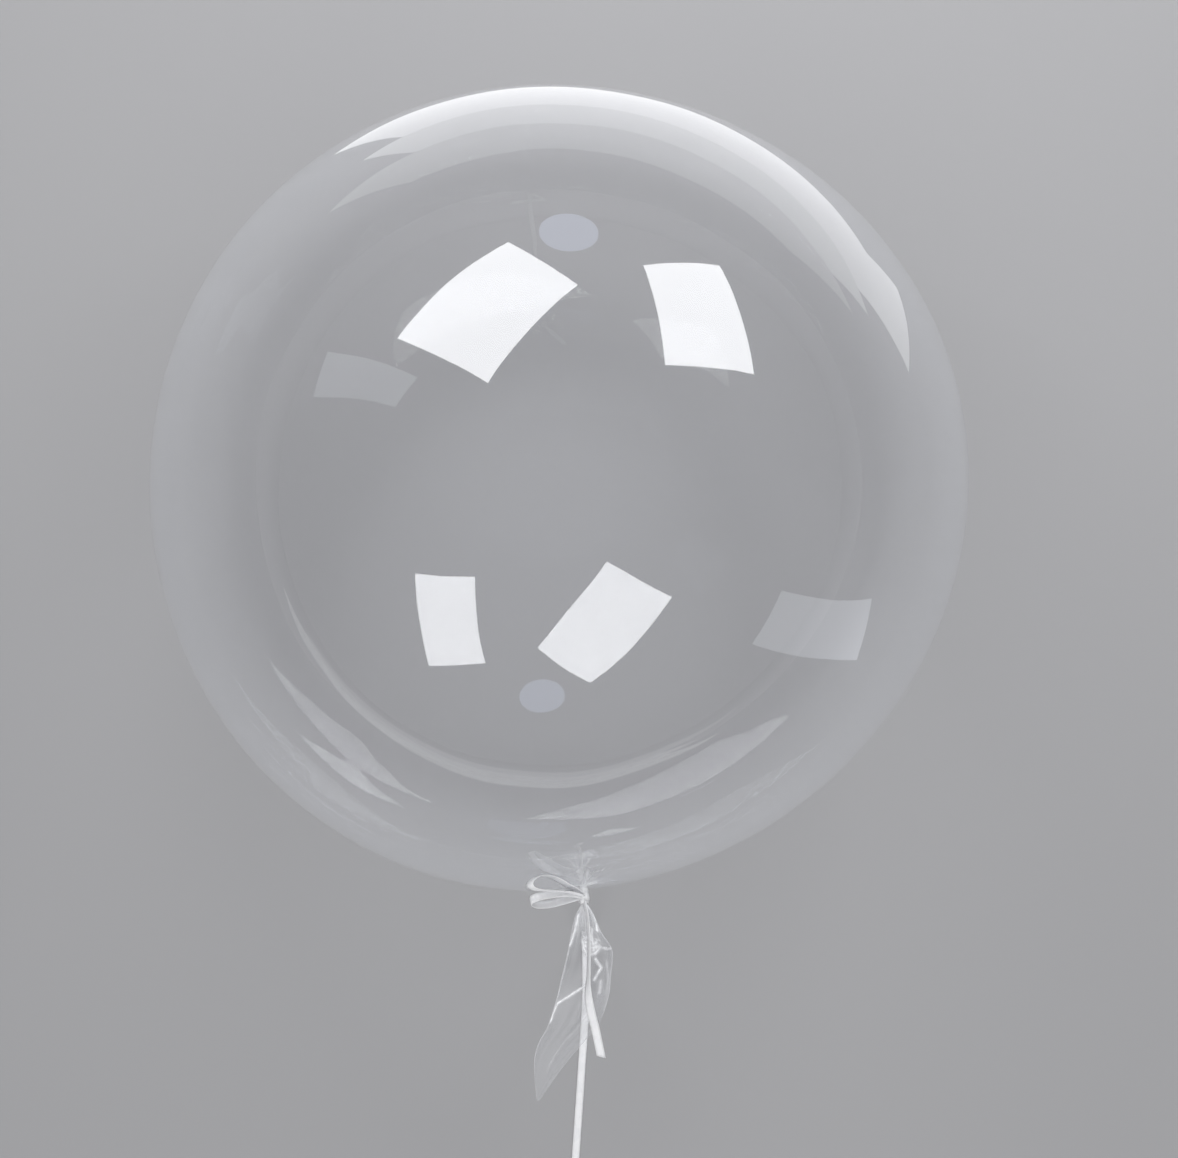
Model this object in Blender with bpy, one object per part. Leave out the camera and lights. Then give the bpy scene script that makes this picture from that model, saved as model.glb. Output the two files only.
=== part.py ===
# A clear bubble balloon, blown up and tied with curling ribbon, lying loose on the floor.
# The film is one piece: ball, gathered neck and the flat tail left over beyond the tie.
# Metres, +Z up. The origin is the centre of the small flat spot that the ball lies on.

import math

import bmesh
import bpy
from mathutils import Vector

# Ball of blown film
BALL_RADIUS = 0.243
OVAL_SHARE = 0.0093            # how much longer the ball is along its long way, as a share
OVAL_TURN = math.radians(15.6)
LOBE_SHARE = 0.0078            # how far three soft corners stand out, as a share
LOBE_TURN = math.radians(9.6)
FLAT_SPOT_WIDTH = 0.070        # what the ball presses flat where it lies

# Gathered neck and its tie
NECK_LEAN = math.radians(3.9)  # to the right of straight forward
NECK_RISE = math.radians(15.0)
NECK_RADIUS = 0.0020
NECK_PULL = 0.0015             # how far the gathered film is drawn out of the round
NECK_PULL_SPREAD = 0.006
PLEATS = 16
PLEAT_DEPTH = 0.0009
PLEAT_SPREAD = math.radians(5.0)
CLEARANCE = 0.0003             # between pieces that touch
TIE_STANDOFF = 0.0016          # from the ball's film to the tie

# Curling ribbon
RIBBON_WIDTH = 0.005
RIBBON_THICKNESS = 0.0005
TIE_WRAPS_LENGTH = 0.0096
TIE_WALL = 0.0010
HITCH_WIDTH = 0.0068
HITCH_DEPTH = 0.0046
COIL_RADIUS = 0.0275           # to the middle of the turns
COIL_BAND = 0.0120             # across the turns, flat on the floor

# Mesh fineness
AROUND = 64
BALL_RING_STEP = math.radians(6.0)
COIL_AROUND = 48
STRIP_STEP = 0.0035
RUN_STEP = 0.0105

# Flat film tail beyond the tie. Each step gives how far out along the neck, to the side and up
# it is, as shares of the tail's length, and its share of the greatest width.
FILM_TAIL_LENGTH = 0.106
FILM_TAIL_WIDTH = 0.031
FILM_TAIL_THICKNESS = 0.0016
FILM_TAIL_FOLD = 0.0022
FILM_TAIL_SHAPE = (
    (0.110, -0.004, -0.006, 0.36),
    (0.204, -0.001, -0.033, 0.58),
    (0.300, 0.012, -0.081, 0.85),
    (0.433, -0.021, -0.174, 0.95),
    (0.525, -0.047, -0.249, 1.00),
    (0.649, -0.106, -0.364, 0.99),
    (0.730, -0.179, -0.453, 0.90),
    (0.808, -0.240, -0.540, 0.69),
    (0.902, -0.292, -0.649, 0.38),
    (1.000, -0.338, -0.777, 0.065),
)

# Bow loops: each leaves the tie to the left, turns and comes back in one tilted plane. Its points
# give how far along that way and how far out along the neck, as shares of the loop's length.
UPPER_LOOP_LENGTH = 0.0500
UPPER_LOOP_RISE = math.radians(53.0)
UPPER_LOOP_ROLL = 0.0
UPPER_LOOP_SHAPE = (
    (0.178, -0.067),
    (0.307, -0.094),
    (0.435, -0.133),
    (0.582, -0.158),
    (0.749, -0.156),
    (0.901, -0.115),
    (1.000, -0.051),
    (0.997, 0.007),
    (0.860, 0.027),
    (0.599, 0.009),
    (0.222, -0.009),
)
LOWER_LOOP_LENGTH = 0.0340
LOWER_LOOP_RISE = math.radians(34.0)
LOWER_LOOP_ROLL = math.radians(-50.0)
LOWER_LOOP_SHAPE = (
    (0.208, -0.017),
    (0.457, -0.023),
    (0.730, 0.005),
    (0.929, 0.061),
    (1.000, 0.153),
    (0.893, 0.235),
    (0.666, 0.243),
    (0.421, 0.151),
    (0.195, 0.060),
)

# Short cut end of the ribbon, above the film tail: out along the neck, to the side and up,
# as shares of its length.
SHORT_END_LENGTH = 0.089
SHORT_END_SHAPE = (
    (0.134, 0.011, 0.046),
    (0.260, 0.014, 0.046),
    (0.450, 0.001, -0.015),
    (0.626, -0.015, -0.143),
    (0.733, -0.004, -0.237),
    (0.833, 0.016, -0.328),
    (1.000, 0.041, -0.457),
)

# Long ribbon from the tie: over a small bend, straight down to the floor, then along it.
# Each point gives how far right of the ball's middle, how far forward of it, and the height.
RUN_ROUTE = (
    (0.0173, 0.2600, 0.2990),
    (0.0175, 0.2683, 0.2870),
    (0.0176, 0.2742, 0.2660),
    (0.0176, 0.2778, 0.2350),
    (0.0175, 0.2790, 0.2000),
    (0.0174, 0.2798, 0.1500),
    (0.0173, 0.2803, 0.1000),
    (0.0172, 0.2815, 0.0550),
    (0.0172, 0.2865, 0.0250),
    (0.0173, 0.2975, 0.0078),
    (0.0174, 0.3120, 0.0030),
    (0.0174, 0.3290, 0.0029),
    (0.0163, 0.3505, 0.0029),
    (0.0149, 0.3701, 0.0029),
    (0.0132, 0.3963, 0.0029),
    (0.0115, 0.4210, 0.0029),
    (0.0103, 0.4400, 0.0029),
    (0.0098, 0.4560, 0.0029),
)
COIL_PLACE = (0.0370, 0.4920)  # right of the ball's middle, and forward of it

FLAT_SPOT_DEPTH = BALL_RADIUS - math.sqrt(BALL_RADIUS ** 2 - (FLAT_SPOT_WIDTH / 2) ** 2)
BALL_CENTRE = Vector((0.0, 0.0, BALL_RADIUS - FLAT_SPOT_DEPTH))
TIE_INNER = NECK_RADIUS + CLEARANCE
TIE_OUTER = TIE_INNER + TIE_WALL

NECK_WAY = Vector((
    math.sin(NECK_LEAN) * math.cos(NECK_RISE),
    -math.cos(NECK_LEAN) * math.cos(NECK_RISE),
    math.sin(NECK_RISE),
))
SIDE_WAY = Vector((math.cos(NECK_LEAN), math.sin(NECK_LEAN), 0.0))
UP_WAY = NECK_WAY.cross(SIDE_WAY)


def film_radius(way):
    """Distance from the ball's centre to its film in one direction."""
    level = math.hypot(way.x, way.y)
    turn = math.atan2(way.y, way.x)
    oval = OVAL_SHARE * level ** 2 * math.cos(2 * (turn - OVAL_TURN))
    lobes = LOBE_SHARE * level ** 3 * math.cos(3 * (turn - LOBE_TURN))
    return BALL_RADIUS * (1 + oval + lobes)


NECK_START = film_radius(NECK_WAY) + NECK_PULL
TIE_PLACE = BALL_CENTRE + NECK_WAY * (NECK_START + TIE_STANDOFF + TIE_WRAPS_LENGTH / 2)


def at_tie(out, side, up):
    """A point given from the middle of the tie: out along the neck, to the right, and up."""
    return TIE_PLACE + NECK_WAY * out + SIDE_WAY * side + UP_WAY * up


def clear_scene():
    """Empty the scene of whatever it holds."""
    for thing in list(bpy.data.objects):
        bpy.data.objects.remove(thing, do_unlink=True)


def plain_material(name, colour, roughness, alpha=1.0):
    """A plain plastic of one colour."""
    material = bpy.data.materials.new(name)
    material.use_nodes = True
    shader = material.node_tree.nodes["Principled BSDF"]
    shader.inputs["Base Color"].default_value = (*colour, 1.0)
    shader.inputs["Roughness"].default_value = roughness
    shader.inputs["Metallic"].default_value = 0.0
    shader.inputs["Alpha"].default_value = alpha
    return material


def add_piece(name, bm, material, sharp_angle=math.radians(40.0)):
    """Turn a bmesh into a named object, its faces pointing out and its round stretches smooth."""
    bmesh.ops.recalc_face_normals(bm, faces=bm.faces)
    mesh = bpy.data.meshes.new(name)
    bm.to_mesh(mesh)
    bm.free()
    mesh.shade_smooth()
    mesh.set_sharp_from_angle(angle=sharp_angle)
    mesh.materials.append(material)
    piece = bpy.data.objects.new(name, mesh)
    bpy.context.scene.collection.objects.link(piece)
    return piece


def smooth_route(points, step):
    """Points about one step apart on a smooth curve through the given ones."""
    ends = [points[0] * 2 - points[1], *points, points[-1] * 2 - points[-2]]
    route = []
    for before, start, end, after in zip(ends, ends[1:], ends[2:], ends[3:]):
        count = max(1, round((end - start).length / step))
        for index in range(count):
            t = index / count
            pull = (end - before) * t + (before * 2 - start * 5 + end * 4 - after) * t ** 2
            pull += (start * 3 - before - end * 3 + after) * t ** 3
            route.append(start + pull * 0.5)
    route.append(points[-1])
    return route


def skin_rings(bm, rings, closed=False):
    """Faces between rings of points, with a flat cap at each end unless they close on themselves."""
    rows = [[bm.verts.new(point) for point in ring] for ring in rings]
    following = rows[1:] + rows[:1] if closed else rows[1:]
    for row, next_row in zip(rows, following):
        for index, vert in enumerate(row):
            after = (index + 1) % len(row)
            bm.faces.new((vert, row[after], next_row[after], next_row[index]))
    if not closed:
        bm.faces.new(rows[0])
        bm.faces.new(rows[-1])


def ball_ring(from_neck):
    """One ring of the ball's film, at an angle from the neck, pleated where it is close to it."""
    near_neck = math.exp(-(from_neck / PLEAT_SPREAD) ** 2)
    ring_radius = BALL_RADIUS * math.sin(from_neck)
    pleat = min(PLEAT_DEPTH, ring_radius * 0.12) * near_neck
    pull = NECK_PULL * math.exp(-(ring_radius / NECK_PULL_SPREAD) ** 2)
    points = []
    for index in range(AROUND):
        turn = math.tau * index / AROUND
        across = SIDE_WAY * math.cos(turn) + UP_WAY * math.sin(turn)
        way = NECK_WAY * math.cos(from_neck) + across * math.sin(from_neck)
        reach = film_radius(way) + pleat * math.sin(PLEATS * turn)
        points.append(BALL_CENTRE + way * reach + NECK_WAY * pull)
    return points


def tail_ring(out, side, up, width, thickness, fold):
    """One flattened ring of the film tail, waved across its width."""
    points = []
    for index in range(AROUND):
        turn = math.tau * index / AROUND
        across = math.cos(turn)
        lift = thickness / 2 * math.sin(turn) + fold * math.cos(1.5 * math.pi * across)
        points.append(at_tie(out, side + width / 2 * across, up + lift))
    return points


def film_balloon(material):
    """The film: ball, gathered neck and tail in one closed skin, with the spot it lies on cut flat."""
    rings = []
    count = round(math.radians(168.0) / BALL_RING_STEP)
    for index in range(count):
        rings.append(ball_ring(math.pi - BALL_RING_STEP * (index + 1)))
    for degrees in (8.5, 6.2, 4.4, 3.1, 2.1, 1.3, 0.85):
        rings.append(ball_ring(math.radians(degrees)))
    half_tie = TIE_WRAPS_LENGTH / 2
    neck_width = NECK_RADIUS * 2
    for out in (-half_tie - TIE_STANDOFF / 2, 0.0, half_tie + CLEARANCE):
        rings.append(tail_ring(out, 0.0, 0.0, neck_width, neck_width, 0.0))
    for index, (*place, width) in enumerate(FILM_TAIL_SHAPE):
        share = index / (len(FILM_TAIL_SHAPE) - 1)
        out, side, up = (FILM_TAIL_LENGTH * part for part in place)
        thickness = FILM_TAIL_THICKNESS * (1.5 - share)
        fold = FILM_TAIL_FOLD * math.sin(math.pi * share)
        rings.append(tail_ring(out, side, up, FILM_TAIL_WIDTH * width, thickness, fold))

    bm = bmesh.new()
    skin_rings(bm, rings)
    bmesh.ops.bisect_plane(
        bm,
        geom=bm.verts[:] + bm.edges[:] + bm.faces[:],
        plane_co=(0.0, 0.0, 0.0),
        plane_no=(0.0, 0.0, -1.0),
        clear_outer=True,
    )
    rim = [edge for edge in bm.edges if edge.is_boundary]
    bmesh.ops.holes_fill(bm, edges=rim, sides=0)
    return add_piece("balloon_film", bm, material)


def add_strip(bm, path, width_ways):
    """A flat length of ribbon along a path, its width along the given directions."""
    rings = []
    for index, point in enumerate(path):
        before = path[max(index - 1, 0)]
        after = path[min(index + 1, len(path) - 1)]
        along = (after - before).normalized()
        wide = width_ways[index]
        wide = (wide - along * wide.dot(along)).normalized() * (RIBBON_WIDTH / 2)
        thick = along.cross(wide).normalized() * (RIBBON_THICKNESS / 2)
        rings.append([
            point + wide + thick,
            point - wide + thick,
            point - wide - thick,
            point + wide - thick,
        ])
    skin_rings(bm, rings)


def loop_strip(name, shape, length, rise, roll, material):
    """One bow loop: a ribbon that leaves the tie, turns and comes back in one tilted plane."""
    along = SIDE_WAY * -math.cos(rise) + UP_WAY * math.sin(rise)
    wide = SIDE_WAY * math.sin(rise) + UP_WAY * math.cos(rise)
    across = NECK_WAY * math.cos(roll) + wide * math.sin(roll)
    width_way = wide * math.cos(roll) - NECK_WAY * math.sin(roll)
    root = TIE_PLACE + along * (TIE_INNER + TIE_WALL / 3)
    points = [root - across * TIE_WALL]
    points += [TIE_PLACE + (along * run + across * out) * length for run, out in shape]
    points.append(root + across * TIE_WALL / 2)
    path = smooth_route(points, STRIP_STEP)
    bm = bmesh.new()
    add_strip(bm, path, [width_way] * len(path))
    return add_piece(name, bm, material)


def short_end_strip(name, material):
    """The ribbon's short cut end, from the top of the tie out over the film tail."""
    points = [at_tie(TIE_WRAPS_LENGTH / 2 - TIE_WALL, 0.0, TIE_INNER + TIE_WALL / 2)]
    points += [at_tie(*(SHORT_END_LENGTH * part for part in place)) for place in SHORT_END_SHAPE]
    path = smooth_route(points, STRIP_STEP * 2)
    bm = bmesh.new()
    add_strip(bm, path, [SIDE_WAY] * len(path))
    return add_piece(name, bm, material)


def tie_wraps(name, material):
    """The wraps round the neck, as one ring with rounded edges."""
    half = TIE_WRAPS_LENGTH / 2
    edge = TIE_WALL / 2
    profile = (
        (-half, TIE_INNER), (-half, TIE_OUTER - edge), (-half + edge, TIE_OUTER),
        (half - edge, TIE_OUTER), (half, TIE_OUTER - edge), (half, TIE_INNER),
    )
    rings = []
    for index in range(AROUND // 2):
        turn = math.tau * index / (AROUND // 2)
        rings.append([
            at_tie(out, radius * math.cos(turn), radius * math.sin(turn)) for out, radius in profile
        ])
    bm = bmesh.new()
    skin_rings(bm, rings, closed=True)
    return add_piece(name, bm, material)


def tie_hitch(name, material):
    """The lump under the wraps where the ribbon crosses itself and the long end leaves."""
    half = TIE_WRAPS_LENGTH / 2
    top = -TIE_INNER - TIE_WALL / 2
    bottom = top - HITCH_DEPTH
    corners = [
        at_tie(out, side, up)
        for out in (-half + TIE_WALL, half)
        for side in (-HITCH_WIDTH / 2, HITCH_WIDTH / 2)
        for up in (bottom, top)
    ]
    bm = bmesh.new()
    verts = [bm.verts.new(corner) for corner in corners]
    bmesh.ops.convex_hull(bm, input=verts)
    bmesh.ops.dissolve_limit(bm, angle_limit=0.01, verts=bm.verts, edges=bm.edges)
    bmesh.ops.bevel(bm, geom=bm.edges[:], offset=TIE_WALL, segments=2, affect="EDGES")
    return add_piece(name, bm, material)


def join_to(piece, others):
    """Weld pieces of the same ribbon into one body."""
    for other in others:
        weld = piece.modifiers.new("weld_" + other.name, "BOOLEAN")
        weld.operation = "UNION"
        weld.object = other
        other.hide_render = True
        other.display_type = "WIRE"


def ribbon_tie(material):
    """The tied stretch of the ribbon: wraps, crossing, two bow loops and the short cut end."""
    wraps = tie_wraps("ribbon_tie", material)
    join_to(wraps, [
        tie_hitch("tie_hitch", material),
        loop_strip(
            "upper_loop", UPPER_LOOP_SHAPE, UPPER_LOOP_LENGTH, UPPER_LOOP_RISE, UPPER_LOOP_ROLL, material
        ),
        loop_strip(
            "lower_loop", LOWER_LOOP_SHAPE, LOWER_LOOP_LENGTH, LOWER_LOOP_RISE, LOWER_LOOP_ROLL, material
        ),
        short_end_strip("short_end", material),
    ])
    return wraps


def run_points():
    """The long ribbon's path: out of the crossing, down to the floor and up to the coil."""
    radius = RIBBON_WIDTH / 2
    start_up = -TIE_INNER - TIE_WALL / 2 - HITCH_DEPTH / 2
    start = at_tie(TIE_WRAPS_LENGTH / 2 + CLEARANCE, 0.0, start_up)
    route = [start, start + NECK_WAY * RIBBON_WIDTH]
    route += [Vector((right, -forward, height)) for right, forward, height in RUN_ROUTE]
    coil_outer = COIL_RADIUS + COIL_BAND / 2
    end_right = RUN_ROUTE[-1][0]
    reach = COIL_PLACE[0] - end_right - radius
    end_forward = COIL_PLACE[1] - math.sqrt(coil_outer ** 2 - reach ** 2) - CLEARANCE
    route.append(Vector((end_right, -end_forward, radius + CLEARANCE)))
    return smooth_route(route, RUN_STEP)


def ribbon_run(material):
    """The long ribbon between the tie and its coil, as a round cord as thick as the ribbon is wide."""
    points = run_points()
    curve = bpy.data.curves.new("ribbon_run", "CURVE")
    curve.dimensions = "3D"
    curve.bevel_depth = RIBBON_WIDTH / 2
    curve.bevel_resolution = 2
    curve.use_fill_caps = True
    spline = curve.splines.new("POLY")
    spline.points.add(len(points) - 1)
    for place, point in zip(spline.points, points):
        place.co = (*point, 1.0)
    curve.materials.append(material)
    piece = bpy.data.objects.new("ribbon_run", curve)
    bpy.context.scene.collection.objects.link(piece)
    return piece


def ribbon_coil(material):
    """The rest of the ribbon, wound into a flat coil that lies on the floor."""
    half = COIL_BAND / 2
    edge = RIBBON_WIDTH / 5
    low = 0.0
    high = RIBBON_WIDTH
    profile = (
        (-half + edge, low), (half - edge, low), (half, low + edge), (half, high - edge),
        (half - edge, high), (-half + edge, high), (-half, high - edge), (-half, low + edge),
    )
    centre = Vector((COIL_PLACE[0], -COIL_PLACE[1], 0.0))
    rings = []
    for index in range(COIL_AROUND):
        turn = math.tau * index / COIL_AROUND
        way = Vector((math.cos(turn), math.sin(turn), 0.0))
        rings.append([
            centre + way * (COIL_RADIUS + across) + Vector((0.0, 0.0, height)) for across, height in profile
        ])
    bm = bmesh.new()
    skin_rings(bm, rings, closed=True)
    return add_piece("ribbon_coil", bm, material)


clear_scene()
film = plain_material("clear_film", (0.90, 0.93, 0.96), 0.04, alpha=0.3)
ribbon = plain_material("white_ribbon", (0.78, 0.78, 0.80), 0.3)
film_balloon(film)
ribbon_tie(ribbon)
ribbon_run(ribbon)
ribbon_coil(ribbon)
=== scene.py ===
import math

import bmesh
import bpy
from mathutils import Matrix, Vector, noise


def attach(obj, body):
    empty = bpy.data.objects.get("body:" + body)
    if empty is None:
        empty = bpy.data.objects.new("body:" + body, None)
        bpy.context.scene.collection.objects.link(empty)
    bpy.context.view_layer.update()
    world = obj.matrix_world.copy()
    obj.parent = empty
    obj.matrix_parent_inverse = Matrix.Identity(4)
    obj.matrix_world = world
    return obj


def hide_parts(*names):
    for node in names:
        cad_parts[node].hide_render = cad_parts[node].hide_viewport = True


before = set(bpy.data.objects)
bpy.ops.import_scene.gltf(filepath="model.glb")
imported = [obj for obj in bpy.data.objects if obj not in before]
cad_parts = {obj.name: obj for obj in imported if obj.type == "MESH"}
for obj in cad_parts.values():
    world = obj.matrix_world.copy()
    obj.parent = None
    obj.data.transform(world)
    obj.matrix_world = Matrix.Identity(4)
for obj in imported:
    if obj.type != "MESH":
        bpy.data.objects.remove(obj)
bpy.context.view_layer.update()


# View: straight down on the lying balloon through a long lens, so that the ball keeps its round
# outline. The picture's middle is a little right of the ball's and forward of it.
BALL_RADIUS = 0.243
FLAT_SPOT_WIDTH = 0.070        # what the ball presses flat where it lies
PICTURE_WIDTH = 0.7068         # across the picture at the height of the ball's middle
CAMERA_DISTANCE = 2.6
CAMERA_RIGHT = 0.0194
CAMERA_FORWARD = 0.0550
SENSOR_WIDTH = 36.0            # in millimetres
ball_centre = Vector((0.0, 0.0, math.sqrt(BALL_RADIUS ** 2 - (FLAT_SPOT_WIDTH / 2) ** 2)))
camera_data = bpy.data.cameras.new("camera")
camera_data.sensor_fit = "HORIZONTAL"
camera_data.sensor_width = SENSOR_WIDTH
camera_data.lens = SENSOR_WIDTH * CAMERA_DISTANCE / PICTURE_WIDTH
camera = bpy.data.objects.new("camera", camera_data)
camera.location = ball_centre + Vector((CAMERA_RIGHT, -CAMERA_FORWARD, CAMERA_DISTANCE))
bpy.context.scene.collection.objects.link(camera)
bpy.context.scene.camera = camera


# Long ribbon: one length of white curling ribbon, 5 mm wide, thin and springy. It leaves the tie on
# its edge, bends over and hangs straight down to the floor, turning on its way, and runs along it.
# What is left is wound up on its edge into a flat coil.
NECK_LEAN = math.radians(3.9)          # to the right of straight forward
NECK_RISE = math.radians(15.0)
NECK_START = 0.24308                   # from the ball's middle to where the gathers are tight
TIE_STANDOFF = 0.0016
TIE_LENGTH = 0.0096
TIE_RADIUS = 0.0023                    # inside the wraps
HITCH_DROP = 0.0051                    # from the neck's middle down to the crossing
CLEARANCE = 0.0003
RIBBON_WIDTH = 0.005
RIBBON_THICKNESS = 0.00022
RIBBON_CUP = 0.00025                   # how far its edges stand off its middle
RIBBON_ROWS = 4                        # faces across its width
RIBBON_STEP = 0.0025
LONG_END_CUT = 0.0015                  # how far the slanted cut runs on at each edge
# The long ribbon's route down to the coil, as its solid has it: to the right, forward, and height.
RUN_ROUTE = (
    (0.0173, 0.2600, 0.2990),
    (0.0175, 0.2683, 0.2870),
    (0.0176, 0.2742, 0.2660),
    (0.0176, 0.2778, 0.2350),
    (0.0175, 0.2790, 0.2000),
    (0.0174, 0.2798, 0.1500),
    (0.0173, 0.2803, 0.1000),
    (0.0172, 0.2815, 0.0550),
    (0.0172, 0.2865, 0.0250),
    (0.0173, 0.2975, 0.0078),
    (0.0174, 0.3120, 0.0030),
    (0.0174, 0.3290, 0.0029),
    (0.0163, 0.3505, 0.0029),
    (0.0149, 0.3701, 0.0029),
    (0.0132, 0.3963, 0.0029),
    (0.0115, 0.4210, 0.0029),
    (0.0103, 0.4400, 0.0029),
    (0.0098, 0.4560, 0.0029),
)
TURN_HIGH, TURN_LOW = 0.235, 0.090     # heights between which the hanging ribbon turns its face
LIE_HIGH, LIE_LOW = 0.011, 0.003       # heights between which it settles on the floor
RISE_FROM, RISE_TO = 0.437, 0.471      # forward of the ball, where it gets up on its edge again
COIL_PLACE = (0.0370, 0.4920)
COIL_TURNS = 5
COIL_OUTER, COIL_INNER = 0.0327, 0.0224
COIL_START = math.radians(165.0)
COIL_POINTS = 20                       # in each turn
COIL_WANDER = 0.00018                  # how far its turns stray from even ones
COIL_WANDER_PACE = 2.3                 # strays in each turn
neck_way = Vector((
    math.sin(NECK_LEAN) * math.cos(NECK_RISE),
    -math.cos(NECK_LEAN) * math.cos(NECK_RISE),
    math.sin(NECK_RISE),
))
side_way = Vector((math.cos(NECK_LEAN), math.sin(NECK_LEAN), 0.0))
up_way = neck_way.cross(side_way)
tie_place = ball_centre + neck_way * (NECK_START + TIE_STANDOFF + TIE_LENGTH / 2)


def at_tie(out, side, up):
    """A point given from the middle of the tie: out along the neck, to the right, and up."""
    return tie_place + neck_way * out + side_way * side + up_way * up


def smooth_route(points, step):
    """Points about one step apart on a smooth curve through the given ones."""
    ends = [points[0] * 2 - points[1], *points, points[-1] * 2 - points[-2]]
    route = []
    for before, start, end, after in zip(ends, ends[1:], ends[2:], ends[3:]):
        count = max(1, round((end - start).length / step))
        for index in range(count):
            t = index / count
            pull = (end - before) * t + (before * 2 - start * 5 + end * 4 - after) * t ** 2
            pull += (start * 3 - before - end * 3 + after) * t ** 3
            route.append(start + pull * 0.5)
    route.append(points[-1])
    return route


def ease(value, low, high):
    """0 below low, 1 above high, and a soft step between them."""
    share = min(max((value - low) / (high - low), 0.0), 1.0)
    return share * share * (3 - 2 * share)


def lay_ribbon(bm, path, width_ways, cut=0.0):
    """A length of ribbon: a grid laid along the path, cupped across, its last end cut on a slant."""
    columns = len(path) - 1
    before = set(bm.verts)
    bmesh.ops.create_grid(bm, x_segments=columns, y_segments=RIBBON_ROWS, size=0.5, calc_uvs=True)
    for vert in set(bm.verts) - before:
        place = round((vert.co.x + 0.5) * columns)
        across = vert.co.y * 2
        along = (path[min(place + 1, columns)] - path[max(place - 1, 0)]).normalized()
        wide = width_ways[place]
        wide = (wide - along * wide.dot(along)).normalized()
        face = wide.cross(along)
        slant = cut * across if place == columns else 0.0
        vert.co = path[place] + wide * (across * RIBBON_WIDTH / 2) + along * slant
        vert.co += face * (RIBBON_CUP * (across ** 2 - 0.5))


def finish_piece(name, bm, material, nodes, thickness=0.0):
    """Turn a bmesh into a named piece that rides on the balloon and stands for its solids."""
    mesh = bpy.data.meshes.new(name)
    bm.to_mesh(mesh)
    bm.free()
    mesh.shade_smooth()
    mesh.materials.append(material)
    piece = bpy.data.objects.new(name, mesh)
    bpy.context.scene.collection.objects.link(piece)
    if thickness:
        wall = piece.modifiers.new("thickness", "SOLIDIFY")
        wall.thickness = thickness
        wall.offset = 0.0
    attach(piece, "root")
    if nodes:
        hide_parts(*nodes)
    return piece


class Wire:
    """A value in a shader, which Python's own signs add to, take from, multiply and raise."""

    def __init__(self, finish, socket):
        self.finish = finish
        self.socket = socket

    def work_out(self, operation, first, second):
        """Add the Math node that works this out."""
        return self.finish.node("ShaderNodeMath", {"operation": operation}, {0: first, 1: second})

    def __add__(self, other):
        return self.work_out("ADD", self, other)

    def __radd__(self, other):
        return self.work_out("ADD", other, self)

    def __sub__(self, other):
        return self.work_out("SUBTRACT", self, other)

    def __rsub__(self, other):
        return self.work_out("SUBTRACT", other, self)

    def __mul__(self, other):
        return self.work_out("MULTIPLY", self, other)

    def __rmul__(self, other):
        return self.work_out("MULTIPLY", other, self)

    def __pow__(self, other):
        return self.work_out("POWER", self, other)

    def __rpow__(self, other):
        return self.work_out("POWER", other, self)


class Finish:
    """The nodes of one material, or of the room's light, ending in the shader given to show()."""

    def __init__(self, owner, end="ShaderNodeOutputMaterial"):
        self.owner = owner
        self.owner.use_nodes = True
        self.tree = self.owner.node_tree
        self.tree.nodes.clear()
        self.surface = self.tree.nodes.new(end).inputs["Surface"]

    def node(self, kind, settings=None, inputs=None, output=0):
        """Add a node, with its settings first and then its sockets' values or links."""
        made = self.tree.nodes.new(kind)
        for name, value in (settings or {}).items():
            setattr(made, name, value)
        for name, value in (inputs or {}).items():
            if isinstance(value, Wire):
                self.tree.links.new(value.socket, made.inputs[name])
            else:
                made.inputs[name].default_value = value
        return Wire(self, made.outputs[output])

    def show(self, shader):
        """Make this shader what is seen, and return the material or room."""
        self.tree.links.new(shader.socket, self.surface)
        return self.owner


RIBBON_RIBS = 14                       # fine lines pressed into its width
RIBBON_LIT_THROUGH = 0.24              # share of the light that goes into it


def white_ribbon():
    """Pressed plastic ribbon: white, satin, ribbed along, a little scuffed, and lit through."""
    finish = Finish(bpy.data.materials.new("white_ribbon"))
    place = finish.node("ShaderNodeTexCoord", output="Object")
    across = finish.node("ShaderNodeSeparateXYZ", {}, {
        "Vector": finish.node("ShaderNodeTexCoord", output="UV"),
    }, output="Y")
    scuffs = finish.node("ShaderNodeTexNoise", {}, {"Vector": place, "Scale": 140.0, "Detail": 3.0})
    ribs = finish.node("ShaderNodeMath", {"operation": "SINE"}, {0: across * (math.tau * RIBBON_RIBS)})
    relief = finish.node("ShaderNodeBump", {}, {
        "Strength": 0.35, "Distance": 0.00006, "Height": ribs + scuffs * 0.6,
    })
    colour = finish.node("ShaderNodeMix", {"data_type": "RGBA"}, {
        0: scuffs, 6: (0.86, 0.87, 0.89, 1.0), 7: (0.97, 0.97, 0.98, 1.0),
    }, output=2)
    satin = finish.node("ShaderNodeBsdfPrincipled", {}, {
        "Base Color": colour,
        "Roughness": scuffs * 0.16 + 0.2,
        "Coat Weight": 0.5,
        "Coat Roughness": 0.10,
        "Normal": relief,
    })
    lit_through = finish.node("ShaderNodeBsdfTranslucent", {}, {"Color": (0.96, 0.96, 0.98, 1.0)})
    return finish.show(finish.node("ShaderNodeMixShader", {}, {
        0: RIBBON_LIT_THROUGH, 1: satin, 2: lit_through,
    }))


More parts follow.
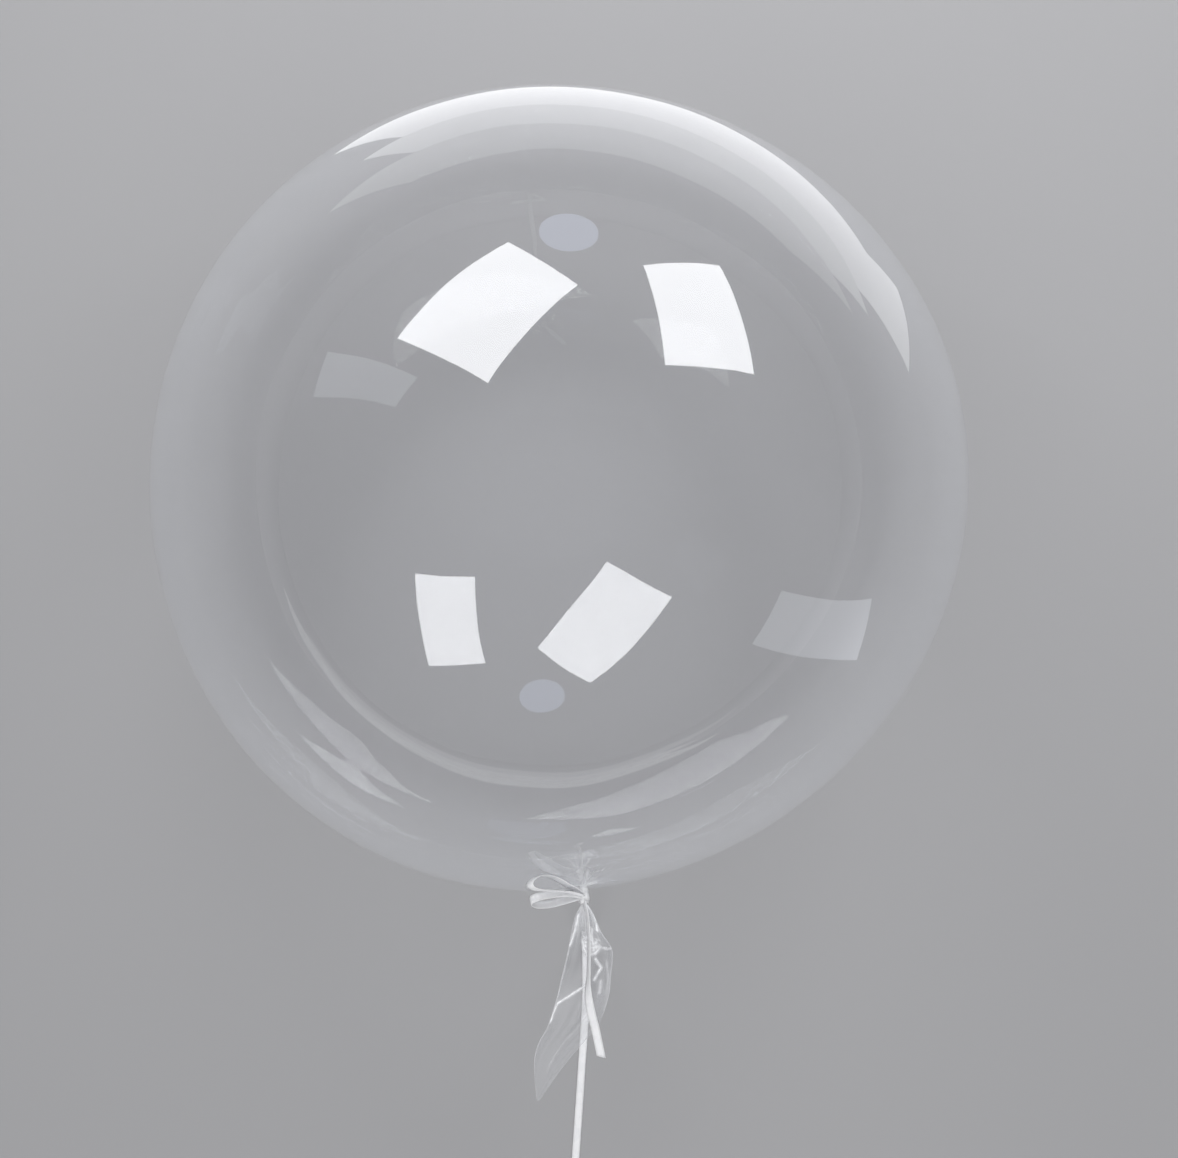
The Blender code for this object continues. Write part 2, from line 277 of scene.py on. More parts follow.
ribbon_finish = white_ribbon()
run_start = at_tie(TIE_LENGTH / 2 + CLEARANCE, 0.0, -HITCH_DROP)
route = [run_start, run_start + neck_way * RIBBON_WIDTH]
route += [Vector((right, -forward, height)) for right, forward, height in RUN_ROUTE]
coil_centre = Vector((COIL_PLACE[0], -COIL_PLACE[1], 0.0))
for index in range(COIL_TURNS * COIL_POINTS + 1):
    share = index / (COIL_TURNS * COIL_POINTS)
    turn = COIL_START + math.tau * COIL_TURNS * share
    radius = COIL_OUTER + (COIL_INNER - COIL_OUTER) * share
    radius += COIL_WANDER * math.sin(turn * COIL_WANDER_PACE)
    height = RIBBON_WIDTH / 2 + CLEARANCE
    route.append(coil_centre + Vector((radius * math.cos(turn), radius * math.sin(turn), height)))
run_path = smooth_route(route, RIBBON_STEP)
run_ways = []
for index, point in enumerate(run_path):
    along = run_path[min(index + 1, len(run_path) - 1)] - run_path[max(index - 1, 0)]
    coiled = -point.y > RISE_FROM
    lift_way = Vector((0.0, 0.0, 1.0)) if coiled else along.cross(side_way).normalized()
    on_edge = ease(-point.y, RISE_FROM, RISE_TO) if coiled else ease(point.z, TURN_LOW, TURN_HIGH)
    tilt = math.pi / 2 * on_edge
    run_ways.append(side_way * math.cos(tilt) + lift_way * math.sin(tilt))
    lying = 1 - ease(point.z, LIE_LOW, LIE_HIGH)
    point.z -= lying * (RIBBON_WIDTH / 2 - CLEARANCE) * (1 - math.sin(tilt))
bm = bmesh.new()
bm.loops.layers.uv.new("UVMap")
lay_ribbon(bm, run_path, run_ways, cut=LONG_END_CUT)
long_ribbon = finish_piece(
    "ribbon_long_end", bm, ribbon_finish, ("ribbon_run", "ribbon_coil"),
    thickness=RIBBON_THICKNESS,
)


# Coil band: a short bit of the same ribbon, passed once round the coil's turns at one place, with its
# end stuck down over its start. It keeps the coil together, so it belongs to the long ribbon's cord.
BAND_TURN = math.radians(50.0)         # where the band goes round the coil
BAND_POINTS = 44
BAND_OVERLAP = 5                       # points more, where its end passes over its start
BAND_OVERLAP_LIFT = 0.03               # as a share of its reach
BAND_SQUARENESS = 6                    # 2 would make it round
BAND_SPARE = 0.0010                    # between it and the coil, inside and outside
BAND_HALF_HEIGHT = 0.00268
BAND_THICKNESS = 0.00016
band_way = Vector((math.cos(BAND_TURN), math.sin(BAND_TURN), 0.0))
band_centre = coil_centre + band_way * (COIL_OUTER + COIL_INNER) / 2
band_centre.z = RIBBON_WIDTH / 2 + CLEARANCE
band_path = []
for index in range(BAND_POINTS + BAND_OVERLAP):
    turn = math.tau * index / BAND_POINTS
    square = abs(math.cos(turn)) ** BAND_SQUARENESS + abs(math.sin(turn)) ** BAND_SQUARENESS
    square = 1 / square ** (1 / BAND_SQUARENESS)
    square += BAND_OVERLAP_LIFT if index > BAND_POINTS else 0.0
    reach = band_way * math.cos(turn) * ((COIL_OUTER - COIL_INNER) / 2 + BAND_SPARE) * square
    lift = math.sin(turn) * BAND_HALF_HEIGHT * square
    band_path.append(band_centre + reach + Vector((0.0, 0.0, lift)))
bm = bmesh.new()
bm.loops.layers.uv.new("UVMap")
lay_ribbon(bm, band_path, [Vector((0.0, 0.0, 1.0)).cross(band_way)] * len(band_path))
coil_band = finish_piece(
    "ribbon_coil_band", bm, ribbon_finish, (), thickness=BAND_THICKNESS,
)

ribbon_length = sum((end - start).length for start, end in zip(run_path, run_path[1:]))


# Film: one skin of clear stretched plastic, blown into a ball and flat where it lies. At the neck it
# is gathered into pleats and tied off, and the flat, crumpled end of it sticks out past the tie.
OVAL_SHARE = 0.0093                    # how oval the ball is, as a share of its radius
OVAL_TURN = math.radians(15.6)
LOBE_SHARE = 0.0078                    # and how three-sided
LOBE_TURN = math.radians(9.6)
NECK_PULL = 0.0015                     # how far the tie draws the film out
NECK_PULL_SPREAD = 0.006
PLEATS = 16
PLEAT_DEPTH = 0.0009
PLEAT_STEEPNESS = 0.12                 # their most depth, as a share of the film's width there
PLEAT_SPREAD = math.radians(5.0)
FINE_PLEATS = 41
FINE_PLEAT_SHARE = 0.3
FINE_PLEAT_SHIFT = 1.0
FILM_WAVE = 0.00022                    # how far the stretched film strays from an even form
FILM_WAVE_PACE = 5.0


def film_radius(way):
    """Distance from the ball's middle to its film in one direction."""
    level = math.hypot(way.x, way.y)
    turn = math.atan2(way.y, way.x)
    oval = OVAL_SHARE * level ** 2 * math.cos(2 * (turn - OVAL_TURN))
    lobes = LOBE_SHARE * level ** 3 * math.cos(3 * (turn - LOBE_TURN))
    return BALL_RADIUS * (1 + oval + lobes)


def ball_point(from_neck, turn):
    """A point of the ball's film, waved a little all over and pleated close to the neck."""
    across = side_way * math.cos(turn) + up_way * math.sin(turn)
    way = neck_way * math.cos(from_neck) + across * math.sin(from_neck)
    ring_radius = BALL_RADIUS * math.sin(from_neck)
    near_neck = math.exp(-(from_neck / PLEAT_SPREAD) ** 2)
    pleat = min(PLEAT_DEPTH, ring_radius * PLEAT_STEEPNESS) * near_neck
    broad = (1 - FINE_PLEAT_SHARE) * math.sin(PLEATS * turn)
    fine = FINE_PLEAT_SHARE * math.sin(FINE_PLEATS * turn + FINE_PLEAT_SHIFT)
    reach = film_radius(way) + FILM_WAVE * noise.noise(way * FILM_WAVE_PACE) * (1 - near_neck)
    reach += pleat * (broad + fine)
    pull = NECK_PULL * math.exp(-(ring_radius / NECK_PULL_SPREAD) ** 2)
    point = ball_centre + way * reach + neck_way * pull
    point.z = max(point.z, 0.0)
    return point


NECK_RADIUS = 0.0020
NECK_RIPPLE = 0.08                     # of the tight neck, as a share of its radius
NECK_CLOUD = 0.5
# The film beside the tie: a slight cloudiness all round, and a painted highlight along its pleats.
PLEAT_HIGHLIGHT = 0.36                     # how white the film is along its pleats beside the tie
PLEAT_CLOUD_LOW, PLEAT_CLOUD_HIGH = 0.06, 0.6
PLEAT_CLOUD_START = 0.75               # degrees from the neck
PLEAT_CLOUD_SPREAD = 1.4


def neck_point(out, turn):
    """A point of the tight round neck inside the tie."""
    radius = NECK_RADIUS * (1 + NECK_RIPPLE * math.sin(PLEATS * turn))
    return at_tie(out, radius * math.cos(turn), radius * math.sin(turn))


def gathered_film(degrees, turn):
    """A point of the film close to the tie, a little cloudy there and with a painted highlight along
    its pleats.
    """
    near = math.exp(-((degrees - PLEAT_CLOUD_START) / PLEAT_CLOUD_SPREAD) ** 2)
    # painted highlight along the pleats' crests
    streak = max(0.0, math.sin(PLEATS * turn)) ** 2 + 0.5 * max(0.0, math.sin(FINE_PLEATS * turn))
    cloud_and_highlight = min(PLEAT_CLOUD_LOW + PLEAT_HIGHLIGHT * streak, PLEAT_CLOUD_HIGH)
    return ball_point(math.radians(degrees), turn), near * cloud_and_highlight


TAIL_LENGTH = 0.106
TAIL_WIDTH = 0.031
# Steps along the tail: out along the neck, to the right and up, as shares of its length, and how wide
# it is there, as a share of its full width.
TAIL_SHAPE = (
    (0.055, 0.000, 0.000, 0.15),
    (0.110, -0.004, -0.006, 0.36),
    (0.204, -0.001, -0.033, 0.58),
    (0.300, 0.012, -0.081, 0.85),
    (0.433, -0.021, -0.174, 0.95),
    (0.525, -0.047, -0.249, 1.00),
    (0.649, -0.106, -0.364, 0.99),
    (0.730, -0.179, -0.453, 0.90),
    (0.808, -0.240, -0.540, 0.69),
    (0.902, -0.292, -0.649, 0.38),
    (1.000, -0.338, -0.777, 0.065),
)
# Each crease: how bright its painted highlight is, how wide, and its points, across the tail and along
# it as shares.
TAIL_CREASES = (
    (0.95, 0.0008, ((-0.65, 0.10), (-0.75, 0.18), (-0.95, 0.26))),
    (0.30, 0.0005, ((-0.95, 0.26), (-0.97, 0.36), (-0.96, 0.52))),
    (1.00, 0.0008, ((0.60, 0.03), (0.85, 0.08), (0.93, 0.12), (0.90, 0.155), (0.78, 0.19))),
    (0.60, 0.0006, ((0.20, 0.06), (0.18, 0.14), (0.10, 0.22))),
    (0.95, 0.0008, ((0.45, 0.18), (0.30, 0.22), (0.22, 0.26))),
    (0.85, 0.0007, ((-0.30, 0.23), (-0.30, 0.28), (-0.05, 0.32), (0.25, 0.31), (0.50, 0.28))),
    (0.95, 0.0009, ((0.25, 0.21), (0.20, 0.27), (0.50, 0.28))),
    (0.55, 0.0006, ((0.45, 0.28), (0.98, 0.29))),
    (1.00, 0.0007, ((0.28, 0.34), (0.55, 0.38), (0.35, 0.44))),
    (0.45, 0.0011, ((0.60, 0.45), (0.60, 0.50))),
    (0.22, 0.0009, ((0.75, 0.35), (0.90, 0.44), (0.88, 0.52))),
    (0.95, 0.0007, (
        (0.05, 0.47), (-0.30, 0.49), (-0.65, 0.52), (-0.90, 0.54), (-0.96, 0.59), (-0.95, 0.63),
    )),
    (0.20, 0.0008, ((0.40, 0.60), (0.10, 0.74), (0.00, 0.86))),
)
# The creases and the crushed patch are whitened in the film as painted highlights, where their folds
# would catch the soft boxes.
CREASE_FALL = 1.6                      # how sharply a crease ends at its sides
CREASE_END = 4.0                       # in widths, where nothing is left of it
CREASE_EVEN, CREASE_BROKEN = 0.85, 0.5    # its even part, and how much is broken up
CREASE_GRAIN = 420.0                   # how finely it is broken up
CRUMPLE_ACROSS, CRUMPLE_SHARE = 0.12, 0.262    # the middle of the crushed patch under the tie
CRUMPLE_REACH = 0.0056
# painted highlight on the crushed patch's crumples
CRUMPLE_HIGHLIGHT = 0.85
CRUMPLE_GRAIN = 650.0


def crease_and_highlight_at(across, share, tail_width):
    """How strongly the tail is creased at a place on it, from 0 to 1, crushed patch included: the
    height of its ridge and the brightness of its painted highlight.
    """
    here = Vector((across * tail_width / 2, share * TAIL_LENGTH, 0.0))
    crumple_middle = Vector((CRUMPLE_ACROSS * tail_width / 2, CRUMPLE_SHARE * TAIL_LENGTH, 0.0))
    crumple = math.exp(-((here - crumple_middle).length / CRUMPLE_REACH) ** 4)
    crease = CRUMPLE_HIGHLIGHT * crumple * max(0.0, 0.5 + noise.noise(here * CRUMPLE_GRAIN))
    for white, width, line in TAIL_CREASES:
        places = [Vector((x * tail_width / 2, y * TAIL_LENGTH, 0.0)) for x, y in line]
        for start, end in zip(places, places[1:]):
            run = end - start
            along = min(max((here - start).dot(run) / run.length_squared, 0.0), 1.0)
            gap = (here - start - run * along).length / width
            if gap < CREASE_END:
                broken = CREASE_EVEN + CREASE_BROKEN * noise.noise(here * CREASE_GRAIN)
                crease = max(crease, white * broken * math.exp(-gap ** CREASE_FALL))
    return min(crease, 1.0)


TAIL_RINGS = 150                       # of faces along it
TAIL_STEP = 0.002
TAIL_GAP = 0.0012                      # between its two layers, which close up toward its tip
TAIL_GAP_AT_TIE = 1.3
TAIL_FOLD = 0.0022
CREASE_HEIGHT = 0.0010
TAIL_RIPPLE = 0.0007
TAIL_RIPPLE_ACROSS, TAIL_RIPPLE_ALONG = 9, 14
TAIL_PLEAT_HEIGHT = 0.0006
TAIL_PLEAT_PACE = 21
TAIL_PLEAT_SHIFT = 0.6
GATHER_START, GATHER_FULL, GATHER_END = 0.05, 0.12, 0.32    # along the tail, where it is gathered
TAIL_CLOUD = 0.035                     # how cloudy its film is all over
# how white the gathered film near the tie is: partly its own cloudiness, partly a painted highlight on
# its pleats
GATHER_CLOUD_AND_HIGHLIGHT = 0.30
# painted highlight along the tail's cut edges, where they would catch the light
CUT_EDGE_HIGHLIGHT = 0.25
# most whiteness from cloudiness and painted highlights on pleats and cut edges, creases aside
MOST_CLOUD_AND_HIGHLIGHT = 0.8
TIP_CLOUD = 0.05                       # how much cloudier the flat end is, past the creases
TIP_START, TIP_FULL = 0.34, 0.56


def tail_point(share, turn):
    """A point of the flat tail, and how cloudy its film is there, with painted highlights along its
    creases, pleats and cut edges.
    """
    place = share * (len(tail_steps) - 1)
    low = min(int(place), len(tail_steps) - 2)
    out, side, up, width = tail_steps[low].lerp(tail_steps[low + 1], place - low)
    across = math.cos(turn)
    run = out / TAIL_LENGTH
    crease = crease_and_highlight_at(across, run, width)
    spread = math.sin(math.pi * min(max(run, 0.0), 1.0))
    gathered = 1 - ease(run, GATHER_START, GATHER_END)
    pleated = gathered * ease(run, GATHER_START, GATHER_FULL)
    lift = TAIL_GAP / 2 * math.sin(turn) * (TAIL_GAP_AT_TIE - run)
    lift += TAIL_FOLD * spread * math.cos(1.5 * math.pi * across)
    lift += TAIL_RIPPLE * spread * math.sin(TAIL_RIPPLE_ACROSS * across + TAIL_RIPPLE_ALONG * run)
    lift += TAIL_PLEAT_HEIGHT * pleated * math.sin(TAIL_PLEAT_PACE * across)
    lift += CREASE_HEIGHT * crease * spread
    # painted highlight along the crests of the gathered pleats
    pleats = max(0.0, math.sin(TAIL_PLEAT_PACE * across + TAIL_PLEAT_SHIFT)) ** 3 * gathered
    # painted highlight along the cut edges
    cut_edge_highlight = CUT_EDGE_HIGHLIGHT * abs(across) ** 40
    flat = TIP_CLOUD * ease(run, TIP_START, TIP_FULL)
    cloud_and_highlight = TAIL_CLOUD + flat + GATHER_CLOUD_AND_HIGHLIGHT * (gathered ** 2 + pleats) + cut_edge_highlight
    return at_tie(out, side + width / 2 * across, up + lift), max(min(cloud_and_highlight, MOST_CLOUD_AND_HIGHLIGHT), crease)


FILM_MIRROR = 0.085                    # the share of light that it mirrors where it is faced
FILM_MIRROR_RISE = 3.5                 # how late that grows to all of it at a slant
FILM_HAZE = 0.24                       # how milky it gets at a slant
FILM_HAZE_START = 0.09


def clear_film():
    """Clear film: see-through, more mirror-like and milky at a slant, white where it is cloudy and
    where its creases, pleats and cut edges carry painted highlights.
    """
    finish = Finish(bpy.data.materials.new("clear_film"))
    slant = finish.node("ShaderNodeLayerWeight", {}, {"Blend": 0.5}, output="Facing")
    # per point: the film's cloudiness and its painted highlights on creases, pleats and cut edges
    cloud_and_highlight = finish.node("ShaderNodeAttribute", {"attribute_name": "cloud_and_highlight"}, output="Fac")
    mirrored = FILM_MIRROR + (1 - FILM_MIRROR) * slant ** FILM_MIRROR_RISE
    haze = finish.node("ShaderNodeMath", {"operation": "MAXIMUM"}, {
        0: slant * FILM_HAZE - FILM_HAZE_START, 1: 0.0,
    })
    clear = finish.node("ShaderNodeBsdfTransparent", {}, {"Color": (0.988, 0.990, 0.995, 1.0)})
    gloss = finish.node("ShaderNodeBsdfPrincipled", {}, {
        "Base Color": (0.97, 0.98, 1.0, 1.0), "Metallic": 1.0, "Roughness": 0.02,
    })
    white = finish.node("ShaderNodeBsdfPrincipled", {}, {
        "Base Color": (0.92, 0.93, 0.95, 1.0), "Roughness": 0.22,
    })
    film = finish.node("ShaderNodeMixShader", {}, {0: mirrored, 1: clear, 2: gloss})
    return finish.show(finish.node("ShaderNodeMixShader", {}, {0: cloud_and_highlight + haze, 1: film, 2: white}))


BALL_AROUND, BALL_RINGS = 192, 96      # faces
NECK_CAP = math.radians(3.0)           # the ball's own rings stop here, and the neck's begin
NECK_RINGS = (2.6, 2.2, 1.85, 1.5, 1.2, 0.95, 0.75)    # degrees from the neck
tail_steps = smooth_route(
    [
        Vector((TAIL_LENGTH * out, TAIL_LENGTH * side, TAIL_LENGTH * up, TAIL_WIDTH * width))
        for out, side, up, width in TAIL_SHAPE
    ],
    TAIL_STEP,
)
bm = bmesh.new()
turns = bm.verts.layers.float.new("turn")
# per point: the film's cloudiness and its painted highlights
clouds_and_highlights = bm.verts.layers.float.new("cloud_and_highlight")
bmesh.ops.create_uvsphere(bm, u_segments=BALL_AROUND, v_segments=BALL_RINGS, radius=1.0)
for vert in bm.verts:
    vert[turns] = math.atan2(vert.co.y, vert.co.x)
cap = [vert for vert in bm.verts if math.acos(min(max(vert.co.z, -1.0), 1.0)) < NECK_CAP]
bmesh.ops.delete(bm, geom=cap, context="VERTS")
for vert in bm.verts:
    from_neck = math.acos(min(max(vert.co.z, -1.0), 1.0))
    vert.co = ball_point(from_neck, vert[turns])


def grow_ring(rim, place):
    """Extrude the open rim once and put each new point where place says for its turn."""
    made = bmesh.ops.extrude_edge_only(bm, edges=rim)["geom"]
    for vert in made:
        if isinstance(vert, bmesh.types.BMVert):
            vert.co, vert[clouds_and_highlights] = place(vert[turns])
    return [edge for edge in made if isinstance(edge, bmesh.types.BMEdge) and edge.is_boundary]


rim = [edge for edge in bm.edges if edge.is_boundary]
for degrees in NECK_RINGS:
    rim = grow_ring(rim, lambda turn: gathered_film(degrees, turn))
neck_back, neck_front = -TIE_LENGTH / 2 - TIE_STANDOFF / 2, TIE_LENGTH / 2 + CLEARANCE
for out in (neck_back, -TIE_LENGTH / 4, TIE_LENGTH / 4, neck_front):
    rim = grow_ring(rim, lambda turn: (neck_point(out, turn), NECK_CLOUD))
for index in range(TAIL_RINGS):
    rim = grow_ring(rim, lambda turn: tail_point(index / (TAIL_RINGS - 1), turn))
bmesh.ops.holes_fill(bm, edges=rim, sides=0)
bmesh.ops.recalc_face_normals(bm, faces=bm.faces)
bm.verts.layers.float.remove(turns)
finish_piece("film_bubble", bm, clear_film(), ("balloon_film",))


# Tie: the same white ribbon wound round the gathered neck, two wraps side by side and one over them,
# and crossed under it. It is left with two bow loops that hang to the left and a short cut end that
# lies over the film's tail. A loop's points are shares of its length: along it, across it and slipped.
UPPER_LOOP_LENGTH = 0.0500
UPPER_LOOP_RISE = math.radians(53.0)
UPPER_LOOP_ROLL = 0.0
UPPER_LOOP_SHAPE = (
    (0.178, -0.067, 0.0),
    (0.307, -0.094, 0.0),
    (0.435, -0.133, 0.0),
    (0.582, -0.158, 0.0),
    (0.749, -0.156, 0.0),
    (0.901, -0.115, 0.0),
    (1.000, -0.051, 0.0),
    (0.997, 0.007, 0.0),
    (0.860, 0.027, 0.0),
    (0.599, 0.009, 0.0),
    (0.222, -0.009, 0.0),
)
LOWER_LOOP_LENGTH = 0.0377
LOWER_LOOP_RISE = math.radians(34.0)
LOWER_LOOP_ROLL = math.radians(-75.0)
LOWER_LOOP_SHAPE = (
    (0.193, -0.027, -0.015),
    (0.439, -0.058, 0.007),
    (0.705, -0.085, 0.058),
    (0.894, -0.080, 0.097),
    (1.000, -0.032, 0.127),
    (0.997, 0.027, 0.146),
    (0.872, 0.074, 0.160),
    (0.645, 0.080, 0.139),
    (0.410, 0.053, 0.088),
    (0.174, 0.021, 0.026),
)
SHORT_END_LENGTH = 0.089
# Out along the neck, to the right and up, as shares of the short end's length.
SHORT_END_SHAPE = (
    (0.134, 0.011, 0.046),
    (0.260, 0.014, 0.046),
    (0.450, 0.001, -0.015),
    (0.626, -0.015, -0.143),
    (0.733, -0.004, -0.237),
    (0.833, 0.016, -0.328),
    (1.000, 0.041, -0.457),
)
SHORT_END_TILT = math.radians(68.0)    # how far its first half stands on edge
TILT_START, TILT_END = 0.45, 0.72      # shares of its length between which it turns flat
SHORT_END_CUT = 0.0014
SHORT_END_STEP = 0.002
SHORT_END_TUCK = 0.001                 # how far it starts under the edge of the wraps
SHORT_END_LIFT = 0.0005
LOOP_STEP = 0.0012
LOOP_START, LOOP_FINISH = -0.001, 0.0005    # where its two feet are held, beside its middle line
WRAP_STEPS = 40                        # in each turn
WRAP_TURNS = 1.15                      # so that its ends pass over each other
WRAP_RISE = 0.00035                    # how far it winds outward over its length
WRAPS = (                              # middle along the neck, radius, and slant across it
    (-0.0023, 0.0024, 0.06),
    (0.0023, 0.0024, -0.05),
    (0.0, 0.0028, 0.30),
)
CROSSING_MIDDLE = 0.0004               # along the neck
CROSSING_SIDE, CROSSING_HEIGHT = 0.0031, 0.0021
CROSSING_STEPS = 30
CROSSING_OVERLAP = 3                   # steps more, where its end passes over its start
bm = bmesh.new()
bm.loops.layers.uv.new("UVMap")


def wind_wrap(middle, radius, slant):
    """One wrap of ribbon round the neck, its ends passing over each other."""
    count = round(WRAP_TURNS * WRAP_STEPS)
    path = []
    for index in range(count + 1):
        share = index / count
        turn = math.tau * WRAP_TURNS * share + slant
        reach = radius + WRAP_RISE * share
        out = middle + slant * reach * math.cos(turn)
        path.append(at_tie(out, reach * math.cos(turn), reach * math.sin(turn)))
    lay_ribbon(bm, path, [neck_way] * len(path))


def hang_loop(shape, length, rise, roll):
    """One bow loop, out to the left of the tie and back in a tilted plane, or slipped out of it."""
    along = side_way * -math.cos(rise) + up_way * math.sin(rise)
    wide = side_way * math.sin(rise) + up_way * math.cos(rise)
    across = neck_way * math.cos(roll) + wide * math.sin(roll)
    width_way = wide * math.cos(roll) - neck_way * math.sin(roll)
    root = tie_place + along * TIE_RADIUS
    points = [root + across * LOOP_START]
    for run, out, slip in shape:
        points.append(tie_place + (along * run + across * out + width_way * slip) * length)
    points.append(root + across * LOOP_FINISH)
    path = smooth_route(points, LOOP_STEP)
    lay_ribbon(bm, path, [width_way] * len(path))


for middle, radius, slant in WRAPS:
    wind_wrap(middle, radius, slant)
hang_loop(UPPER_LOOP_SHAPE, UPPER_LOOP_LENGTH, UPPER_LOOP_RISE, UPPER_LOOP_ROLL)
hang_loop(LOWER_LOOP_SHAPE, LOWER_LOOP_LENGTH, LOWER_LOOP_RISE, LOWER_LOOP_ROLL)
short_end = [at_tie(TIE_LENGTH / 2 - SHORT_END_TUCK, 0.0, TIE_RADIUS + SHORT_END_LIFT)]
short_end += [at_tie(*(SHORT_END_LENGTH * part for part in place)) for place in SHORT_END_SHAPE]
short_path = smooth_route(short_end, SHORT_END_STEP)
short_ways = []
for index in range(len(short_path)):
    tilt = SHORT_END_TILT * (1 - ease(index / len(short_path), TILT_START, TILT_END))
    short_ways.append(side_way * math.cos(tilt) + up_way * math.sin(tilt))
lay_ribbon(bm, short_path, short_ways, cut=SHORT_END_CUT)
crossing = []
for index in range(CROSSING_STEPS + CROSSING_OVERLAP):
    turn = math.tau * index / CROSSING_STEPS + math.pi / 2
    side, up = CROSSING_SIDE * math.cos(turn), -HITCH_DROP + CROSSING_HEIGHT * math.sin(turn)
    crossing.append(at_tie(CROSSING_MIDDLE, side, up))
lay_ribbon(bm, crossing, [neck_way] * len(crossing))
finish_piece(
    "ribbon_bow", bm, ribbon_finish, ("ribbon_tie",), thickness=RIBBON_THICKNESS,
)


# Studio: a plain pale floor, and two soft boxes, a dim round lamp and a dim panel that the film mirrors
# on its front and its back. Low sheets of light on the floor draw the sheen along its far rim. Two
# broad soft lights that it doesn't mirror and a plain room, paler overhead, fill the rest.
FLOOR_SIZE = 40.0
FLOOR_DROP = 0.0001            # so that the film doesn't lie in the very same plane
ROOM_LOW, ROOM_HIGH = 0.24, 0.50       # how bright the room is level with the floor, and overhead


def pale_floor():
    """Matt pale grey floor with a very slight unevenness of tone."""
    finish = Finish(bpy.data.materials.new("pale_floor"))
    place = finish.node("ShaderNodeTexCoord", output="Object")
    tone = finish.node("ShaderNodeTexNoise", {}, {"Vector": place, "Scale": 1.5, "Detail": 2.0})
    colour = finish.node("ShaderNodeMix", {"data_type": "RGBA"}, {
        0: tone, 6: (0.300, 0.300, 0.310, 1.0), 7: (0.325, 0.325, 0.333, 1.0),
    }, output=2)
    return finish.show(finish.node("ShaderNodeBsdfPrincipled", {}, {
        "Base Color": colour, "Roughness": 0.75, "Specular IOR Level": 0.2,
    }))


WHITE = (1.0, 1.0, 1.0)
RIGHTWARD = (1.0, 0.0, 0.0)
BACKWARD = (0.0, 1.0, 0.0)


def hang_lamp(name, place, along, down, width, height, brightness, colour=WHITE, shape="RECTANGLE"):
    """A flat, even lamp spanned by two directions and facing the ball, which the camera doesn't see."""
    light = bpy.data.lights.new(name, "AREA")
    light.shape = shape
    light.size = width
    light.size_y = height
    area = width * height * (math.pi / 4 if shape == "DISK" else 1.0)
    light.energy = brightness * math.pi * area
    light.color = colour
    lamp = bpy.data.objects.new(name, light)
    lamp.visible_camera = False
    x_axis = Vector(along).normalized()
    y_axis = Vector(down)
    y_axis = (y_axis - x_axis * y_axis.dot(x_axis)).normalized()
    z_axis = x_axis.cross(y_axis)
    if z_axis.dot(Vector(place)) < 0.0:
        x_axis.negate()
        z_axis.negate()
    turn = Matrix((x_axis, y_axis, z_axis)).transposed().to_4x4()
    lamp.matrix_world = Matrix.Translation(ball_centre + Vector(place)) @ turn
    bpy.context.scene.collection.objects.link(lamp)
    return lamp


bm = bmesh.new()
bmesh.ops.create_grid(bm, x_segments=1, y_segments=1, size=FLOOR_SIZE / 2)
floor_mesh = bpy.data.meshes.new("floor")
bm.to_mesh(floor_mesh)
bm.free()
floor_mesh.materials.append(pale_floor())
floor = bpy.data.objects.new("floor", floor_mesh)
floor.location.z = -FLOOR_DROP
bpy.context.scene.collection.objects.link(floor)

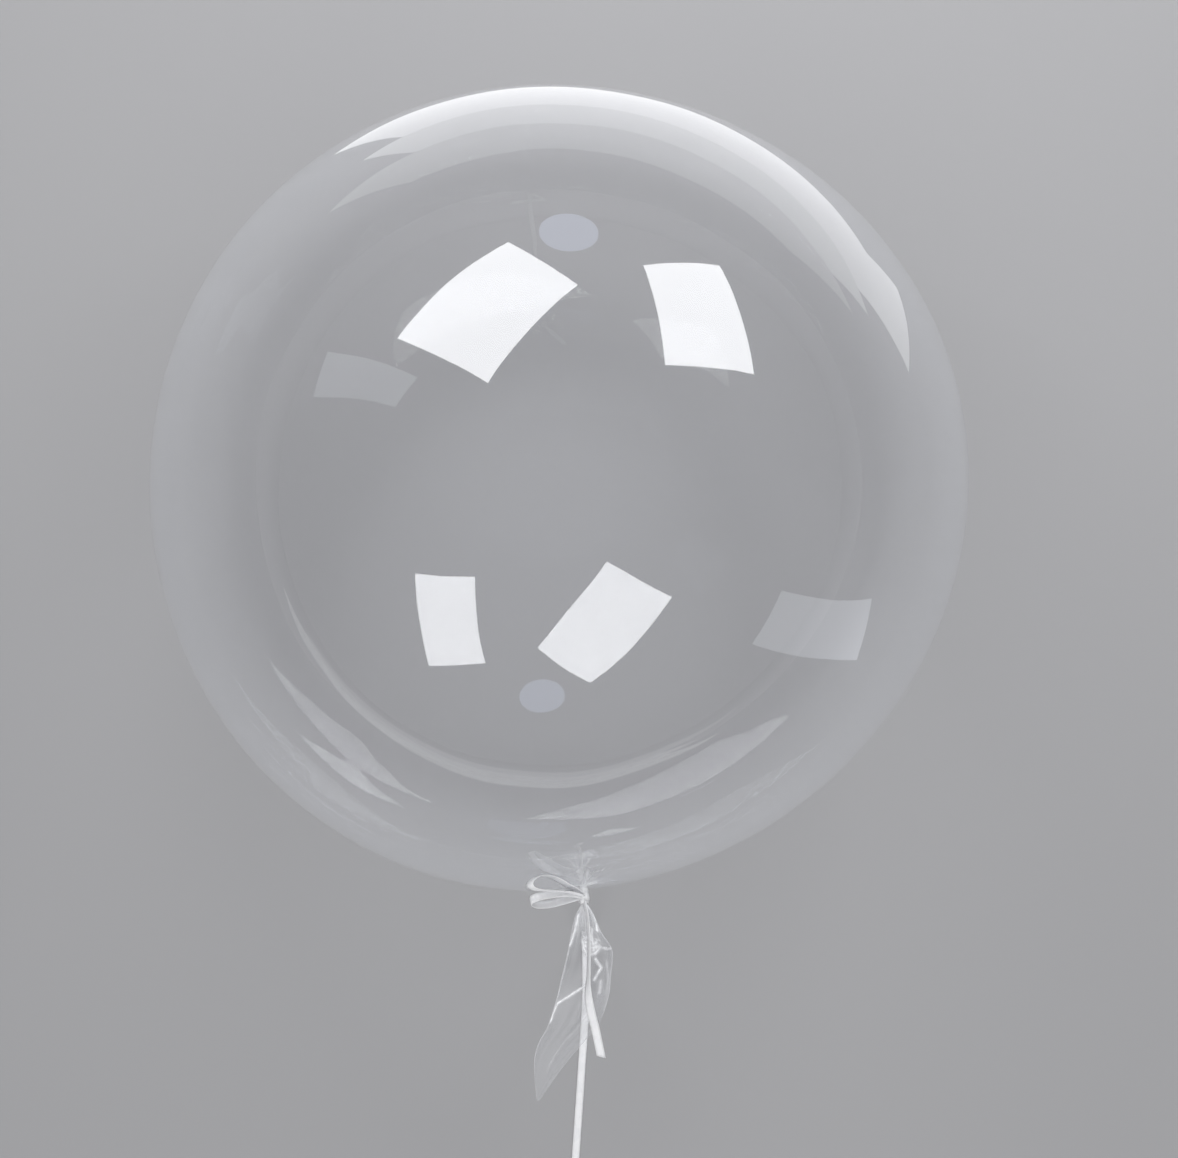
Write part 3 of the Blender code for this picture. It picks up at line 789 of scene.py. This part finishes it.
SOFT_BOX_LIGHT = 6.5
hang_lamp(
    "soft_box_left", (-0.25, 0.814, 0.718),
    along=(0.73, -0.372, 0.574), down=(-0.505, -0.859, 0.086),
    width=0.471, height=0.754, brightness=SOFT_BOX_LIGHT,
)
hang_lamp(
    "soft_box_right", (0.561, 0.723, 0.575),
    along=(0.769, -0.186, -0.611), down=(0.09, -0.915, 0.392),
    width=0.372, height=0.589, brightness=SOFT_BOX_LIGHT,
)
hang_lamp(
    "round_lamp", (0.07, 1.40, 0.54),
    along=RIGHTWARD, down=(0.0, 0.36, -0.93),
    width=0.31, height=0.31, brightness=1.5, colour=(0.66, 0.74, 1.0), shape="DISK",
)
dim_panel = hang_lamp(
    "dim_panel", (0.660, -0.366, 0.139),
    along=(0.892, 0.352, 0.282), down=(0.268, 0.093, -0.959),
    width=0.205, height=0.46, brightness=1.0, colour=(0.90, 0.93, 1.0),
)
dim_panel.visible_diffuse = False

LOW_LIGHT_HEIGHT = 0.004               # above the floor
LOW_LIGHTS = (                         # left, right, near and far edges from the ball's middle
    ("low_light_near", -0.22, 0.75, 0.335, 0.52, 0.80),
    ("low_light_middle", -0.30, 0.90, 0.52, 0.74, 0.60),
    ("low_light_far", -0.60, 1.20, 0.74, 1.30, 0.36),
    ("low_light_beside", 0.42, 0.75, 0.26, 0.335, 0.75),
)
for name, left, right, near, far, brightness in LOW_LIGHTS:
    middle = ((left + right) / 2, (near + far) / 2, LOW_LIGHT_HEIGHT - ball_centre.z)
    hang_lamp(name, middle, RIGHTWARD, BACKWARD, right - left, far - near, brightness)

FILL_WIDTH, FILL_HEIGHT = 2.2, 2.0
FILLS = (
    ("overhead", (0.0, -0.3, 3.2), BACKWARD, 1.6),
    ("front_fill", (0.1, -1.9, 1.5), (0.0, 1.5, 1.9), 2.2),
)
for name, place, down, brightness in FILLS:
    fill = hang_lamp(name, place, RIGHTWARD, down, FILL_WIDTH, FILL_HEIGHT, brightness)
    fill.visible_glossy = False

room = Finish(bpy.data.worlds.new("grey_room"), "ShaderNodeOutputWorld")
up_share = room.node("ShaderNodeSeparateXYZ", {}, {
    "Vector": room.node("ShaderNodeTexCoord", output="Generated"),
}, output="Z")
paler = room.node("ShaderNodeMapRange", {"interpolation_type": "SMOOTHSTEP"}, {
    "Value": up_share, "To Min": ROOM_LOW, "To Max": ROOM_HIGH,
})
bpy.context.scene.world = room.show(room.node("ShaderNodeBackground", {}, {
    "Color": (0.99, 0.99, 1.0, 1.0), "Strength": paler,
}))
bpy.context.scene.view_settings.view_transform = "Standard"
